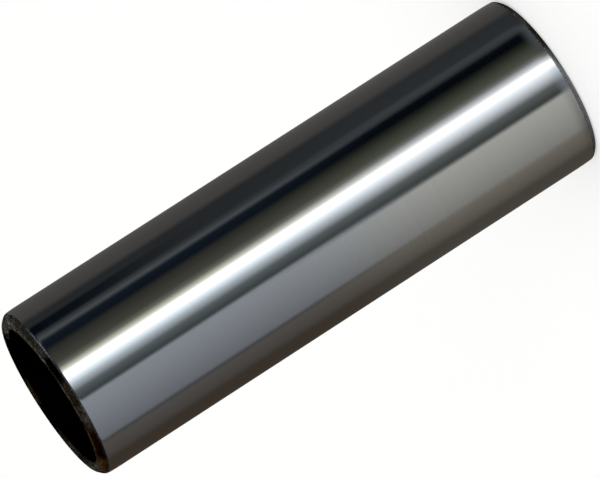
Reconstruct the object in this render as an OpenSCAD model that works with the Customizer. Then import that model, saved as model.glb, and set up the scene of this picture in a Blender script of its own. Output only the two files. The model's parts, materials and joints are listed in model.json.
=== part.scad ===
// Gudgeon pin: a hollow steel pin, turned, case hardened and ground in one piece.
// It stands on one end, with its axis on Z and the lower end face on z = 0. Millimetres.

/* [Barrel] */
// outside diameter of the ground barrel
barrel_dia = 20; // [8:0.1:40]
// length over the two end faces
pin_length = 63.5; // [20:0.5:120]
// wall thickness between the barrel and the straight bore
wall = 1.75; // [1.5:0.05:2.5]

/* [Ends] */
// height of the upper chamfer along the axis
upper_chamfer = 0.75; // [0.5:0.05:0.8]
// radius that eases both edges of the upper chamfer
upper_blend = 0.8; // [0.1:0.05:0.85]
// height of the lower chamfer along the axis
lower_chamfer = 0.5; // [0.3:0.05:0.8]
// radius that eases both edges of the lower chamfer
lower_blend = 0.4; // [0.1:0.05:0.5]
// slope of both chamfers away from the axis, in degrees
chamfer_slope = 45; // [30:1:45]
// width of the 45 degree bevel at the mouth of the bore
bore_bevel = 0.3; // [0.1:0.05:0.4]

/* [Hidden] */
$fn = 128;
steel_colour = [0.52, 0.53, 0.54];
barrel_r = barrel_dia / 2;
bore_r = barrel_r - wall;
mouth_r = bore_r + bore_bevel;
// heading of the chamfer in the half section, counted from the end face
chamfer_heading = 90 - chamfer_slope;

// outer radius of the flat end face beside a chamfer of this height
function face_r(chamfer) = barrel_r - chamfer * tan(chamfer_slope);

// half section of the wall with straight edges, from the bore out to the barrel
module plain_section() {
  polygon([
    [bore_r, bore_bevel],
    [mouth_r, 0],
    [face_r(lower_chamfer), 0],
    [barrel_r, lower_chamfer],
    [barrel_r, pin_length - upper_chamfer],
    [face_r(upper_chamfer), pin_length],
    [mouth_r, pin_length],
    [bore_r, pin_length - bore_bevel]
  ]);
}

// what a blend takes off a corner at the origin,
// where an edge that comes in along heading a turns left to heading b
module corner_waste(a, b, blend) {
  reach = blend * tan((b - a) / 2);
  start = -reach * [cos(a), sin(a)];
  end = reach * [cos(b), sin(b)];
  centre = start + blend * [-sin(a), cos(a)];
  difference() {
    polygon([centre, start, -centre, end]);
    translate(centre)
      circle(r = blend);
  }
}

// what the blends take off both edges of a chamfer on the lower end
module chamfer_waste(chamfer, blend) {
  translate([face_r(chamfer), 0])
    corner_waste(0, chamfer_heading, blend);
  translate([barrel_r, chamfer])
    corner_waste(chamfer_heading, 90, blend);
}

module gudgeon_pin() {
  color(steel_colour)
    rotate_extrude()
      difference() {
        plain_section();
        chamfer_waste(lower_chamfer, lower_blend);
        translate([0, pin_length])
          mirror([0, 1])
            chamfer_waste(upper_chamfer, upper_blend);
      }
}

gudgeon_pin();
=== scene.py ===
import json
import math
import bpy
import numpy as np
from mathutils import Matrix, Vector


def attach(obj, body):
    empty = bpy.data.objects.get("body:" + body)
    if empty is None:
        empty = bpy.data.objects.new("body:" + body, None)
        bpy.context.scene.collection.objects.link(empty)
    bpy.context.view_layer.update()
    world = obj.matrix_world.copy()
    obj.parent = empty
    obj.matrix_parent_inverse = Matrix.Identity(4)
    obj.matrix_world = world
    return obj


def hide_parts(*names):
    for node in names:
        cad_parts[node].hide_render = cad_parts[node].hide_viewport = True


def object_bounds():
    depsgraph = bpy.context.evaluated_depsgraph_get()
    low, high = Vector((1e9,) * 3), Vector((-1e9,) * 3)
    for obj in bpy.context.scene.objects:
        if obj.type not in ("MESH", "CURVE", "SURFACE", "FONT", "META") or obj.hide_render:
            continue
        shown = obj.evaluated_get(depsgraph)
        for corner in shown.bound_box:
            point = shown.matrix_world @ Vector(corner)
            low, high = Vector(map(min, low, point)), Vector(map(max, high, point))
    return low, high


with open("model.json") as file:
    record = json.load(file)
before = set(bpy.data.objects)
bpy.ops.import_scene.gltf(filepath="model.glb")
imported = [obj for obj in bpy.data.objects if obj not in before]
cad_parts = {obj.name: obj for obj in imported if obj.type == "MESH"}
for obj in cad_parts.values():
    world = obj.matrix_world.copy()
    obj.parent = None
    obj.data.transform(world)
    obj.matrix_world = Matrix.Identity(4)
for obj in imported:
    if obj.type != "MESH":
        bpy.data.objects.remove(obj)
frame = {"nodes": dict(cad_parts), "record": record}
cadLow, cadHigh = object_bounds()
print("frame loaded:", sorted(frame["nodes"]))

mm = 0.001
imageWidth = 600  # pixels, the long side of the picture


def toLinear(hexColour, strength=1.0):
    # sRGB hex to linear RGBA, times a strength
    srgb = np.array([int(hexColour[i:i + 2], 16) for i in (1, 3, 5)]) / 255
    linear = np.where(srgb <= 0.04045, srgb / 12.92, ((srgb + 0.055) / 1.055) ** 2.4)
    return (*(linear * strength).tolist(), 1.0)


def addNode(tree, kind, inputs=None, stops=None, **settings):
    # new node with its settings and links: an input is a value or another node's output,
    # and stops are a colour ramp's (position, RGBA) pairs
    node = tree.nodes.new(kind)
    for name, value in settings.items():
        setattr(node, name, value)
    for socket, value in (inputs or {}).items():
        if isinstance(value, bpy.types.NodeSocket):
            tree.links.new(value, node.inputs[socket])
        else:
            node.inputs[socket].default_value = value
    if stops:
        elements = node.color_ramp.elements
        while len(elements) < len(stops):
            elements.new(1.0)
        for element, (position, colour) in zip(elements, sorted(stops)):
            element.position = position
            element.color = colour
    return node


def startMaterial(name):
    # new material with its node tree, its shader and the object's own coordinates
    material = bpy.data.materials.new(name)
    material.use_nodes = True
    tree = material.node_tree
    coord = addNode(tree, "ShaderNodeTexCoord").outputs["Object"]
    return material, tree, tree.nodes["Principled BSDF"], coord


# camera
camera = {
    "distance": 0.783,  # metres from the middle of the pin
    "elevation": 12.22,  # degrees above the floor
    "roll": -122.829,  # degrees; lays the upright pin along the picture's diagonal
    "lens": 444.4,  # mm
    "sensor": 36,  # mm, across the picture's width
    "clip": (0.01, 20),  # metres, nearest and farthest
    "offset": (-0.795, -1.735),  # pixels from the picture's centre to the pin's middle, right and down
}


def placeCamera():
    data = bpy.data.cameras.new("camera")
    data.lens = camera["lens"]
    data.sensor_width = camera["sensor"]
    data.shift_x = -camera["offset"][0] / imageWidth
    data.shift_y = camera["offset"][1] / imageWidth
    data.clip_start, data.clip_end = camera["clip"]
    tilt = math.radians(camera["elevation"])
    roll = math.radians(camera["roll"])
    back = Vector((0, -math.cos(tilt), math.sin(tilt)))
    right = Vector((1, 0, 0))
    up = back.cross(right)
    imageRight = math.cos(roll) * right + math.sin(roll) * up
    imageUp = -math.sin(roll) * right + math.cos(roll) * up
    middle = (cadLow + cadHigh) / 2
    turn = Matrix((imageRight, imageUp, back)).transposed().to_4x4()
    obj = bpy.data.objects.new("camera", data)
    obj.matrix_world = Matrix.Translation(middle + camera["distance"] * back) @ turn
    bpy.context.scene.collection.objects.link(obj)
    bpy.context.scene.camera = obj


placeCamera()
print("camera placed")


# studio: upright cards round the pin, the floor strip in front of them, a dome overhead and the floor's glow,
# all for the polished steel to mirror. Angles round the pin are degrees from the camera towards -X,
# and heights are degrees above the horizon.
studio = {
    "hues": {"plain": "#ffffff", "cream": "#fffdf2", "cool": "#eef8ff", "pale": "#f6fbff", "haze": "#eff5ff",
             "sea": "#ecfcff", "mint": "#f5fffa", "blue": "#a8d0ff", "straw": "#fefde6", "olive": "#f7ffde",
             "wall": "#fff7f0", "dusk": "#fff3e8", "warm": "#fff3e0", "brown": "#ffe2c6"},
    # one band above the other: hue, first and last edge, level at each edge
    "bands": [
        [  # upper part of the cards
            ("wall", -178, -114, 0.130, 0.098),  # back wall
            ("cool", -104, -79, 0.040, 0.046),  # dark card
            ("cool", -73.2, -69, 0.087, 0.150),  # grey post
            ("blue", -64, -54, 0.030, 0.021),  # black flag
            ("straw", -48.5, -31, 0.046, 0.100),  # olive card
            ("straw", -25.0, -18.8, 0.25, 1.20),  # soft edge of the key
            ("plain", -15.4, -8, 2.7, 2.3),  # key strip
            ("cool", -4.8, 2, 1.92, 0.90),  # spill of the key
            ("sea", 10.5, 21.5, 0.205, 0.082),  # gap
            ("haze", 25.3, 82, 0.51, 0.278),  # grey card
            ("plain", 86.3, 88, 0.105, 0.105),  # seam
            ("dusk", 91, 112, 0.145, 0.110),  # brown wall
            ("brown", 124, 178, 0.077, 0.058),  # its dark side
        ],
        [  # foot of the cards
            ("wall", -178, -114, 0.165, 0.096),
            ("cool", -104, -82, 0.050, 0.055),
            ("cool", -77, -71, 0.095, 0.080),
            ("blue", -64.5, -56, 0.009, 0.005),
            ("olive", -48, -31, 0.036, 0.145),
            ("plain", -26.2, -18.8, 0.29, 1.26),
            ("plain", -15, -8, 2.6, 2.1),
            ("pale", -4.5, 7.5, 1.74, 0.58),
            ("mint", 12, 24.5, 0.200, 0.070),
            ("cream", 29.5, 82, 0.685, 0.385),
            ("warm", 86.5, 88.5, 0.315, 0.295),
            ("warm", 91, 112, 0.268, 0.180),
            ("warm", 124, 178, 0.108, 0.082),
        ],
        [  # floor strip, lit by the key
            ("wall", -178, -114, 0.100, 0.060),
            ("cool", -95, -80, 0.045, 0.060),
            ("cool", -70, -31, 0.130, 0.115),
            ("plain", -24, -18, 0.30, 1.30),
            ("plain", -14, -8, 2.5, 2.0),
            ("cool", -4.5, 7, 1.50, 0.66),
            ("cool", 13, 23, 0.34, 0.28),
            ("cream", 31, 82, 0.52, 0.20),
            ("warm", 94, 120, 0.15, 0.095),
            ("brown", 135, 178, 0.065, 0.050),
        ],
    ],
    # spans round the pin: outer edge, full, full, outer edge
    "spans": {
        "slot": (-94.5, -90, -80, -75),  # a black slot in the dark card
        "back": (170, 179, 181, 190),  # a soft light behind the pin
    },
    # height at which each mask begins and is full, and how far it covers what lies behind it
    "heights": {
        "foot": (-11.97, -13.38, 1.0),  # from the cards' upper part to their foot
        "slot": (-11.54, -10.5, 1.0),  # the slot opens
        "floor": (-15.67, -19.37, 1.0),  # from the cards' foot to the floor strip
        "back": (18, 12, 1.0),  # the light behind the pin ends here
        "glow": (-20, -34, 0.75),  # the floor at the pin's feet
        "dome": (40, 65, 1.0),
    },
    # colours of the masks, with their strength
    "slot": ("#0a131b", 1.0),
    "glow": ("#f4f5f6", 0.45),
    "back": ("#ffffff", 0.75),
    "dome": ("#ffffff", 2.3),
    "backdrop": "#fefefd",  # what the camera sees past the floor
}


def buildStudio():
    world = bpy.data.worlds.new("studio")
    bpy.context.scene.world = world
    world.use_nodes = True
    tree = world.node_tree
    tree.nodes.clear()
    coord = addNode(tree, "ShaderNodeTexCoord").outputs["Generated"]
    # turned so that a ramp's middle faces the camera and its ends meet behind the pin
    turned = addNode(tree, "ShaderNodeMapping", {"Vector": coord, "Rotation": (0, 0, math.radians(90))})
    around = addNode(tree, "ShaderNodeTexGradient", {"Vector": turned.outputs["Vector"]},
                     gradient_type="RADIAL").outputs["Fac"]
    height = addNode(tree, "ShaderNodeSeparateXYZ", {"Vector": coord}).outputs["Z"]
    black, white = toLinear("#000000"), toLinear("#ffffff")
    bands = []
    for cards in studio["bands"]:
        stops = [(0.5 - angle / 360, toLinear(studio["hues"][hue], level))
                 for hue, first, last, firstLevel, lastLevel in cards
                 for angle, level in ((first, firstLevel), (last, lastLevel))]
        bands.append(addNode(tree, "ShaderNodeValToRGB", {"Fac": around}, stops).outputs["Color"])
    masks = {}
    for name, (first, last, cover) in studio["heights"].items():
        low, high = [math.sin(math.radians(angle)) for angle in (first, last)]
        ends = {"Value": height, "From Min": low, "From Max": high, "To Max": cover}
        mask = addNode(tree, "ShaderNodeMapRange", ends, interpolation_type="SMOOTHSTEP")
        masks[name] = mask.outputs["Result"]
    spans = {}
    for name, edges in studio["spans"].items():
        # a span behind the pin straddles the ramp's ends, so its angles wrap
        shades = (black, white, white, black)
        stops = [((0.5 - angle / 360) % 1, shade) for angle, shade in zip(edges, shades)]
        spans[name] = addNode(tree, "ShaderNodeValToRGB", {"Fac": around}, stops).outputs["Color"]
    openSlot = addNode(tree, "ShaderNodeMath", {0: spans["slot"], 1: masks["slot"]}, operation="MULTIPLY")
    backLight = addNode(tree, "ShaderNodeMath", {0: spans["back"], 1: masks["back"]}, operation="MULTIPLY")
    path = addNode(tree, "ShaderNodeLightPath")
    layers = [
        (masks["foot"], bands[1]),
        (openSlot.outputs[0], toLinear(*studio["slot"])),
        (masks["floor"], bands[2]),
        (masks["glow"], toLinear(*studio["glow"])),
        (backLight.outputs[0], toLinear(*studio["back"])),
        (masks["dome"], toLinear(*studio["dome"])),
        (path.outputs["Is Camera Ray"], toLinear(studio["backdrop"])),
    ]
    colour = bands[0]
    for mask, over in layers:
        colour = addNode(tree, "ShaderNodeMix", {0: mask, 6: colour, 7: over}, data_type="RGBA").outputs[2]
    background = addNode(tree, "ShaderNodeBackground", {"Color": colour})
    addNode(tree, "ShaderNodeOutputWorld", {"Surface": background.outputs["Background"]})


buildStudio()
print("studio built")


# floor
floor = {
    "size": 6.0,  # metres
    "colour": "#fcfcfb",
    "grain": "#fefefd",
    "grainSize": 3.0,  # mm
    "roughness": 0.9,
    "specular": 0.2,
    "ownLight": 0.55,  # share of the paper's own white that the camera sees, which softens the shadow
}


def buildFloor():
    half = floor["size"] / 2
    corners = [(-half, -half, 0), (half, -half, 0), (half, half, 0), (-half, half, 0)]
    mesh = bpy.data.meshes.new("floor")
    mesh.from_pydata(corners, [], [(0, 1, 2, 3)])
    obj = bpy.data.objects.new("floor", mesh)
    bpy.context.scene.collection.objects.link(obj)
    obj.visible_glossy = False  # the barrel mirrors the studio's own floor instead
    # matt paper: pale, with a faint grain
    material, tree, shader, coord = startMaterial("matt paper floor")
    grain = addNode(tree, "ShaderNodeTexNoise", {"Vector": coord, "Scale": 1 / (floor["grainSize"] * mm)})
    shades = {0: grain.outputs["Fac"], 6: toLinear(floor["colour"]), 7: toLinear(floor["grain"])}
    colour = addNode(tree, "ShaderNodeMix", shades, data_type="RGBA").outputs[2]
    tree.links.new(colour, shader.inputs["Base Color"])
    shader.inputs["Roughness"].default_value = floor["roughness"]
    shader.inputs["Specular IOR Level"].default_value = floor["specular"]
    seen = addNode(tree, "ShaderNodeLightPath").outputs["Is Camera Ray"]
    share = addNode(tree, "ShaderNodeMath", {0: seen, 1: floor["ownLight"]}, operation="MULTIPLY")
    white = addNode(tree, "ShaderNodeEmission", {"Color": colour})
    paper = addNode(tree, "ShaderNodeMixShader", {0: share.outputs[0], 1: shader.outputs["BSDF"],
                                                  2: white.outputs["Emission"]})
    tree.links.new(paper.outputs["Shader"], tree.nodes["Material Output"].inputs["Surface"])
    mesh.materials.append(material)


buildFloor()
print("floor built")


# gudgeon pin
mounts = {m["name"]: m for m in frame["record"]["mounts"]}
pin = {
    "barrelR": cadHigh.x,
    "boreR": mounts["bore"]["dims"]["r_mm"] * mm,
    "length": cadHigh.z,
    "upperChamfer": 0.75 * mm,  # 45 degrees, outside
    "upperBlend": 0.8 * mm,  # eases both edges of the chamfer
    "lowerChamfer": 0.5 * mm,
    "lowerBlend": 0.4 * mm,
    "lowerStain": 0.62 * mm,  # how far an end's finish reaches along the pin
    "upperStain": 0.72 * mm,
    "lowerRunOut": 1.5 * mm,  # the superfinishing stone leaves the barrel's last stretch a hair slimmer
    "upperRunOut": 1.7 * mm,
    "runOutDrop": 0.055 * mm,
    "lowerRunOutBlend": 33 * mm,  # radius of the curve into it
    "upperRunOutBlend": 14 * mm,
    "bevel": 0.3 * mm,  # 45 degrees, at the bore's mouth
    "edgeBreak": 0.06 * mm,  # eases both edges of the bevel
    "aroundSteps": 384,
    "arcSteps": 8,
    "support": 0.05 * mm,  # a ring this far from each arc keeps the straight walls straight
    "hair": 0.0001 * mm,  # rounding error allowed on the bore's wall
}


def easedOutline(corners, radii, arcSteps, support):
    # Closed outline through corners, each rounded by an arc tangent to both its edges.
    # At a corner the arc runs from the incoming edge's normal to the outgoing edge's normal, about a centre
    # one radius inside both edges. One more point stands on each edge just before and just after an arc.
    corners = np.asarray(corners, float)
    radii = np.asarray(radii, float)[:, None, None]
    into = corners - np.roll(corners, 1, axis=0)
    into /= np.linalg.norm(into, axis=1, keepdims=True)
    out = np.roll(into, -1, axis=0)
    turn = np.arctan2(into[:, 0] * out[:, 1] - into[:, 1] * out[:, 0], (into * out).sum(1))[:, None]
    start = corners - radii[:, 0] * np.tan(turn / 2) * into
    inward = np.stack([-into[:, 1], into[:, 0]], axis=1)
    centre = start + radii[:, 0] * inward
    heading = np.arctan2(-inward[:, 1:], -inward[:, :1]) + turn * np.linspace(0, 1, arcSteps + 1)
    arc = centre[:, None] + radii * np.stack([np.cos(heading), np.sin(heading)], axis=2)
    before = arc[:, :1] - support * into[:, None]
    after = arc[:, -1:] + support * out[:, None]
    return np.concatenate([before, arc, after], axis=1).reshape(-1, 2)


def revolvedGrid(outline, steps):
    # ring surface: point i of the outline (radius, height) carried round Z, closed both ways
    angle = np.linspace(0, 2 * np.pi, steps, endpoint=False)
    radius, height = outline[:, :1], outline[:, 1:]
    points = np.stack([radius * np.cos(angle), radius * np.sin(angle), height + 0 * angle], axis=2)
    count = len(outline)
    i, j = np.meshgrid(np.arange(count), np.arange(steps), indexing="ij")
    iNext, jNext = (i + 1) % count, (j + 1) % steps
    quads = np.stack([i * steps + j, i * steps + jNext, iNext * steps + jNext, iNext * steps + j], axis=2)
    return points.reshape(-1, 3), quads.reshape(-1, 4)


def endSection(chamfer, blend, runOut, runOutBlend):
    # corners of one end from the bore outwards: radius, depth from the end face and rounding
    barrelR, boreR, bevel, drop = pin["barrelR"], pin["boreR"], pin["bevel"], pin["runOutDrop"]
    return [
        (boreR, bevel, pin["edgeBreak"]),
        (boreR + bevel, 0, pin["edgeBreak"]),
        (barrelR - chamfer, 0, blend),
        (barrelR - drop, chamfer - drop, blend),
        (barrelR, runOut, runOutBlend),
    ]


def buildPin():
    boreR, length = pin["boreR"], pin["length"]
    lower, upper = [endSection(pin[end + "Chamfer"], pin[end + "Blend"], pin[end + "RunOut"],
                               pin[end + "RunOutBlend"]) for end in ("lower", "upper")]
    section = np.array(lower + [(r, length - depth, rounding) for r, depth, rounding in reversed(upper)])
    outline = easedOutline(section[:, :2], section[:, 2], pin["arcSteps"], pin["support"])
    points, quads = revolvedGrid(outline, pin["aroundSteps"])
    mesh = bpy.data.meshes.new("gudgeon_pin_surface")
    mesh.from_pydata(points, [], quads)
    # each strip of faces takes its finish from where its outline segment lies
    barrelWall, upperRing, lowerRing, boreWall = range(4)
    r, z = ((outline + np.roll(outline, -1, axis=0)) / 2).T
    places = [r < boreR + pin["hair"], z > length - pin["upperStain"], z < pin["lowerStain"]]
    finish = np.select(places, [boreWall, upperRing, lowerRing], barrelWall)
    mesh.polygons.foreach_set("material_index", np.repeat(finish, pin["aroundSteps"]).astype(np.int32))
    mesh.polygons.foreach_set("use_smooth", np.ones(len(quads), bool))
    mesh.update()
    mesh.validate()
    obj = bpy.data.objects.new("gudgeon_pin_surface", mesh)
    bpy.context.scene.collection.objects.link(obj)
    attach(obj, "root")
    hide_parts("gudgeon_pin")
    return obj


pinObject = buildPin()
print("pin built:", len(pinObject.data.polygons), "faces")


noiseSpan = (0.3, 0.7)  # a noise texture keeps nearly all its values between these


def depthFromEnd(tree, coord):
    # depth below the nearer end face: half the length less the distance from the pin's middle
    half = pin["length"] / 2
    upright = addNode(tree, "ShaderNodeSeparateXYZ", {"Vector": coord}).outputs["Z"]
    fromMiddle = addNode(tree, "ShaderNodeMath", {0: upright, 1: half}, operation="SUBTRACT").outputs[0]
    offMiddle = addNode(tree, "ShaderNodeMath", {0: fromMiddle}, operation="ABSOLUTE").outputs[0]
    return addNode(tree, "ShaderNodeMath", {0: half, 1: offMiddle}, operation="SUBTRACT").outputs[0]


# superfinished case-hardened steel: nearly a mirror, with the faint lay of the grinding wheel round it
groundSteel = {
    "colour": "#bcbec0",
    "worn": "#b8babc",
    "roughness": (0.06, 0.08),
    "layWidth": 0.35,  # mm; real lines are about 0.02 mm, drawn coarser so that they show
    "layLength": 9.0,  # mm round the barrel
    "layDepth": 0.00003,  # mm
    "layDetail": 3.0,
    "waveWidth": 0.6,  # mm; the slight orange peel that grinding leaves
    "waveDepth": 0.0005,  # mm
    "waveDetail": 1.0,
}


def groundSteelMaterial():
    m = groundSteel
    material, tree, shader, coord = startMaterial("superfinished ground steel")
    layScale = [1 / (size * mm) for size in (m["layLength"], m["layLength"], m["layWidth"])]
    stretched = addNode(tree, "ShaderNodeMapping", {"Vector": coord, "Scale": layScale}).outputs["Vector"]
    layNoise = {"Vector": stretched, "Scale": 1.0, "Detail": m["layDetail"]}
    waveNoise = {"Vector": coord, "Scale": 1 / (m["waveWidth"] * mm), "Detail": m["waveDetail"]}
    lay, wave = [addNode(tree, "ShaderNodeTexNoise", noise).outputs["Fac"] for noise in (layNoise, waveNoise)]
    shades = {0: lay, 6: toLinear(m["colour"]), 7: toLinear(m["worn"])}
    colour = addNode(tree, "ShaderNodeMix", shades, data_type="RGBA").outputs[2]
    least, most = noiseSpan
    smooth, rough = m["roughness"]
    shine = addNode(tree, "ShaderNodeMapRange", {"Value": lay, "From Min": least, "From Max": most,
                                                 "To Min": smooth, "To Max": rough})
    ripple = addNode(tree, "ShaderNodeBump", {"Height": wave, "Distance": m["waveDepth"] * mm})
    scratch = addNode(tree, "ShaderNodeBump", {"Height": lay, "Distance": m["layDepth"] * mm,
                                               "Normal": ripple.outputs["Normal"]})
    tree.links.new(colour, shader.inputs["Base Color"])
    tree.links.new(shine.outputs["Result"], shader.inputs["Roughness"])
    tree.links.new(scratch.outputs["Normal"], shader.inputs["Normal"])
    shader.inputs["Metallic"].default_value = 1.0
    return material


# turned steel, dark from hardening and stained by dried oil: dull grey-brown, with black and rusty patches;
# its face is lightened in places as a painted reflection, and the chamfer's outer edge carries a painted
# highlight
upperEnd = {
    "name": "hardened turned steel with oil stains",
    "chamfer": pin["upperChamfer"],
    "tones": {"bright": "#65645f", "pale": "#4c4a46", "ash": "#484640", "grey": "#393833",
              "tan": "#523a25", "sand": "#372e22", "olive": "#2c2922", "drab": "#272521",
              "brown": "#1a140d", "umber": "#140f08", "rust": "#150a03", "black": "#020202"},
    # patches round the chamfer: tone, first and last edge in degrees from the camera towards -X
    "patches": [
        ("umber", -179, -162), ("black", -156, -114), ("bright", -99, -72), ("ash", -65, -54),
        ("drab", -44, -27), ("black", -21, -6), ("brown", -1, 5), ("umber", 9, 13), ("drab", 21, 25),
        ("rust", 36, 58), ("tan", 73, 92), ("grey", 97, 104), ("olive", 120, 138), ("umber", 148, 155),
        ("black", 161, 174),
    ],
    # patches round the flat face: its stains, made lighter in places as a painted reflection of the light
    # behind the pin
    "facePatches": [
        ("umber", -179, -162), ("black", -156, -114), ("pale", -99, -60), ("ash", -48, -38),
        ("bright", -32, -27), ("olive", -19, -6), ("ash", 0, 6), ("grey", 11, 22), ("olive", 30, 34),
        ("sand", 41, 62), ("pale", 86, 104), ("olive", 120, 138), ("umber", 148, 155), ("black", 161, 174),
    ],
    "face": 0.95,  # level of the face's tones
    "edgeHighlight": "#70767e",  # painted highlight: a light line along the chamfer's outer edge
    "edgeHighlightFrom": (-52, -44, -28, -18),  # degrees: outer edge, full, full, outer edge
    "edgeHighlightElsewhere": 0.14,  # and thinly all round, a faint painted highlight
    "blotch": 0.9,  # mm
    "push": 1.6,  # mm that the blotches shift a patch's edge
    "speck": 0.22,  # mm
    "fleck": (0.4, 1.65),  # how much the specks darken and lighten
    "roughness": (0.36, 0.60),
    "edgeTint": "#4a4238",  # the film swallows the light that grazes it
}
# lower end, standing on the floor: its tones round the chamfer are painted reflection and painted shade set
# by angle from the camera
lowerEnd = {
    "name": "hardened turned steel, rubbed clean",
    "chamfer": pin["lowerChamfer"],
    "tones": {"dark": "#46423e", "dimGrey": "#6a6866", "mid": "#b2b4b6", "dull": "#8c8a88"},
    # painted reflection and shade round the chamfer: tone, first and last edge in degrees from the camera
    # towards -X
    "patches": [
        ("dull", -178, -100), ("dimGrey", -80, -40), ("dark", -31, -18), ("mid", 6, 45), ("dull", 70, 178),
    ],
    "facePatches": [("dull", -178, 178)],
    # painted shade: darkens the face and its blend, where the pin stands on the floor
    "face": 0.3,
    "edgeHighlight": "#8e9092",
    "edgeHighlightFrom": (-10, 6, 100, 140),
    "edgeHighlightElsewhere": 0.0,
    "blotch": 1.2,
    "push": 0.8,
    "speck": 0.22,
    "fleck": (0.8, 1.2),
    "roughness": (0.30, 0.45),
    "edgeTint": "#808080",
}


# both ends
ring = {
    "blotchDetail": 3.0,
    "speckDetail": 2.0,
    "innerFade": 0.08 * mm,  # over which the flat face's tones begin beside the bevel
    "outerFade": 0.15 * mm,  # and end beside the chamfer
    "edgeHighlightShort": (0.25 * mm, 0.12 * mm),  # the painted highlight on the chamfer's outer edge begins, and is full, this far short of the barrel
    "speckHeight": 0.004 * mm,
}


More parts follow.
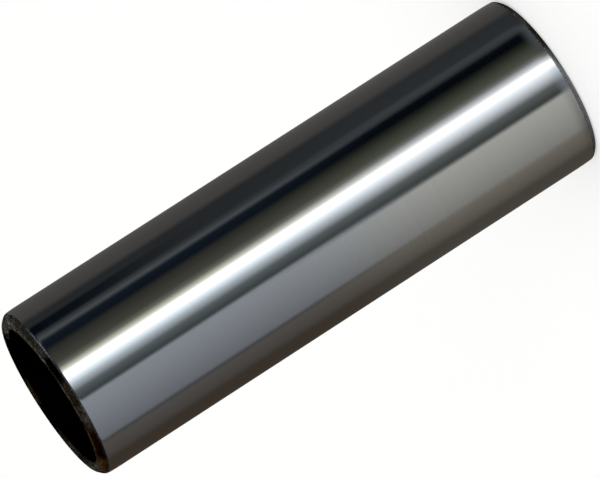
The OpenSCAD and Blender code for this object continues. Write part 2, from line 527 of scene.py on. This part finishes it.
def endMaterial(m):
    material, tree, shader, coord = startMaterial(m["name"])
    grains = {}
    for name in ("blotch", "speck"):
        noise = {"Vector": coord, "Scale": 1 / (m[name] * mm), "Detail": ring[name + "Detail"]}
        grains[name] = addNode(tree, "ShaderNodeTexNoise", noise).outputs
    # the blotches push the patches' edges about, either way from the noise's mean of a half
    push = addNode(tree, "ShaderNodeVectorMath", {0: grains["blotch"]["Color"], 1: (0.5, 0.5, 0.5)},
                   operation="SUBTRACT").outputs["Vector"]
    pushed = addNode(tree, "ShaderNodeVectorMath", {0: push, 1: [m["push"] * mm] * 3, 2: coord},
                     operation="MULTIPLY_ADD").outputs["Vector"]
    turned = addNode(tree, "ShaderNodeMapping", {"Vector": pushed, "Rotation": (0, 0, math.radians(90))})
    around = addNode(tree, "ShaderNodeTexGradient", {"Vector": turned.outputs["Vector"]},
                     gradient_type="RADIAL").outputs["Fac"]
    thin, full = toLinear("#ffffff", m["edgeHighlightElsewhere"]), toLinear("#ffffff")
    stainStops, faceStops = [[(0.5 - angle / 360, toLinear(m["tones"][tone]))
                              for tone, first, last in patches for angle in (first, last)]
                             for patches in (m["patches"], m["facePatches"])]
    edgeHighlightStops = [(0.5 - angle / 360, shade)
                 for angle, shade in zip(m["edgeHighlightFrom"], (thin, full, full, thin))]
    stain, faceStainAndPaintedLight, edgeHighlight = [addNode(tree, "ShaderNodeValToRGB", {"Fac": around}, stops).outputs["Color"]
                              for stops in (stainStops, faceStops, edgeHighlightStops)]
    # distance from the axis tells the face from the chamfer,
    # and depth below the face finds the chamfer's outer edge
    flat = addNode(tree, "ShaderNodeVectorMath", {0: coord, 1: (1, 1, 0)}, operation="MULTIPLY")
    radius = addNode(tree, "ShaderNodeVectorMath", {0: flat.outputs["Vector"]},
                     operation="LENGTH").outputs["Value"]
    depth = depthFromEnd(tree, coord)
    faceIn = pin["boreR"] + pin["bevel"]
    faceOut = pin["barrelR"] - m["chamfer"]
    rimFrom, rimFull = [m["chamfer"] - short for short in ring["edgeHighlightShort"]]
    # each range: what is measured, where it begins and is full, and the values there
    ranges = {
        "inner": (radius, faceIn, faceIn + ring["innerFade"], 0, 1),
        "outer": (radius, faceOut, faceOut - ring["outerFade"], 0, 1),
        "rim": (depth, rimFrom, rimFull, 0, 1),
        "fleck": (grains["speck"]["Fac"], *noiseSpan, *m["fleck"]),
        "shine": (grains["blotch"]["Fac"], *noiseSpan, *m["roughness"]),
    }
    masks = {}
    for name, (value, low, high, first, last) in ranges.items():
        ends = {"Value": value, "From Min": low, "From Max": high, "To Min": first, "To Max": last}
        mask = addNode(tree, "ShaderNodeMapRange", ends, interpolation_type="SMOOTHSTEP")
        masks[name] = mask.outputs["Result"]
    onFace = addNode(tree, "ShaderNodeMath", {0: masks["inner"], 1: masks["outer"]}, operation="MULTIPLY")
    # painted highlight: the chamfer's outer edge is lightened towards a light steel grey, fully in the given
    # span
    highlightOnEdge = addNode(tree, "ShaderNodeMath", {0: masks["rim"], 1: edgeHighlight}, operation="MULTIPLY")
    # the face's tones: painted reflection on the upper end and painted shade on the lower end, scaled by the
    # face's level
    paintedLightFace = addNode(tree, "ShaderNodeVectorMath", {0: faceStainAndPaintedLight, 3: m["face"]}, operation="SCALE")
    colour = stain
    for mask, over in ((onFace, paintedLightFace.outputs["Vector"]), (highlightOnEdge, toLinear(m["edgeHighlight"]))):
        shades = {0: mask.outputs[0], 6: colour, 7: over}
        colour = addNode(tree, "ShaderNodeMix", shades, data_type="RGBA").outputs[2]
    # specks lighten and darken it all
    flecked = addNode(tree, "ShaderNodeVectorMath", {0: colour, 3: masks["fleck"]}, operation="SCALE")
    bumps = {"Height": grains["speck"]["Fac"], "Distance": ring["speckHeight"]}
    rough = addNode(tree, "ShaderNodeBump", bumps)
    tree.links.new(flecked.outputs["Vector"], shader.inputs["Base Color"])
    tree.links.new(masks["shine"], shader.inputs["Roughness"])
    tree.links.new(rough.outputs["Normal"], shader.inputs["Normal"])
    shader.inputs["Metallic"].default_value = 1.0
    shader.inputs["Specular Tint"].default_value = toLinear(m["edgeTint"])
    return material


# drilled bore: painted shade, black near the mouth where the bore lies in shade, thinning to the steel's own
# grey deeper in
boreSteel = {
    # painted shade: near-black with faint brown streaks at the mouth
    "colour": "#020202",
    "brown": "#050403",
    "deep": "#77736f",  # the steel's own colour, deeper in
    "paintedShade": (4.5, 14.0),  # mm from the mouth at which the painted shade begins to thin and is gone
    "roughness": 0.6,
    "streak": 2.0,  # mm
    "edgeTint": "#080808",  # a dark tint swallows the light that grazes the wall, deepening the painted shade
}


def boreSteelMaterial():
    m = boreSteel
    material, tree, shader, coord = startMaterial("drilled steel painted black for the shade at its mouth")
    streak = addNode(tree, "ShaderNodeTexNoise", {"Vector": coord, "Scale": 1 / (m["streak"] * mm)})
    shades = {0: streak.outputs["Fac"], 6: toLinear(m["colour"]), 7: toLinear(m["brown"])}
    # painted shade: the near-black colour at the bore's mouth
    paintedShade = addNode(tree, "ShaderNodeMix", shades, data_type="RGBA").outputs[2]
    thins, gone = [reach * mm for reach in m["paintedShade"]]
    ends = {"Value": depthFromEnd(tree, coord), "From Min": thins, "From Max": gone}
    thinned = addNode(tree, "ShaderNodeMapRange", ends, interpolation_type="SMOOTHSTEP").outputs["Result"]
    colour = addNode(tree, "ShaderNodeMix", {0: thinned, 6: paintedShade, 7: toLinear(m["deep"])},
                     data_type="RGBA").outputs[2]
    tree.links.new(colour, shader.inputs["Base Color"])
    shader.inputs["Metallic"].default_value = 1.0
    shader.inputs["Roughness"].default_value = m["roughness"]
    shader.inputs["Specular Tint"].default_value = toLinear(m["edgeTint"])
    return material


# in the order of the pin's finishes: barrel, upper ring, lower ring, bore
for material in (groundSteelMaterial(), endMaterial(upperEnd), endMaterial(lowerEnd), boreSteelMaterial()):
    pinObject.data.materials.append(material)
print("materials set")

bpy.context.scene.view_settings.view_transform = "Standard"
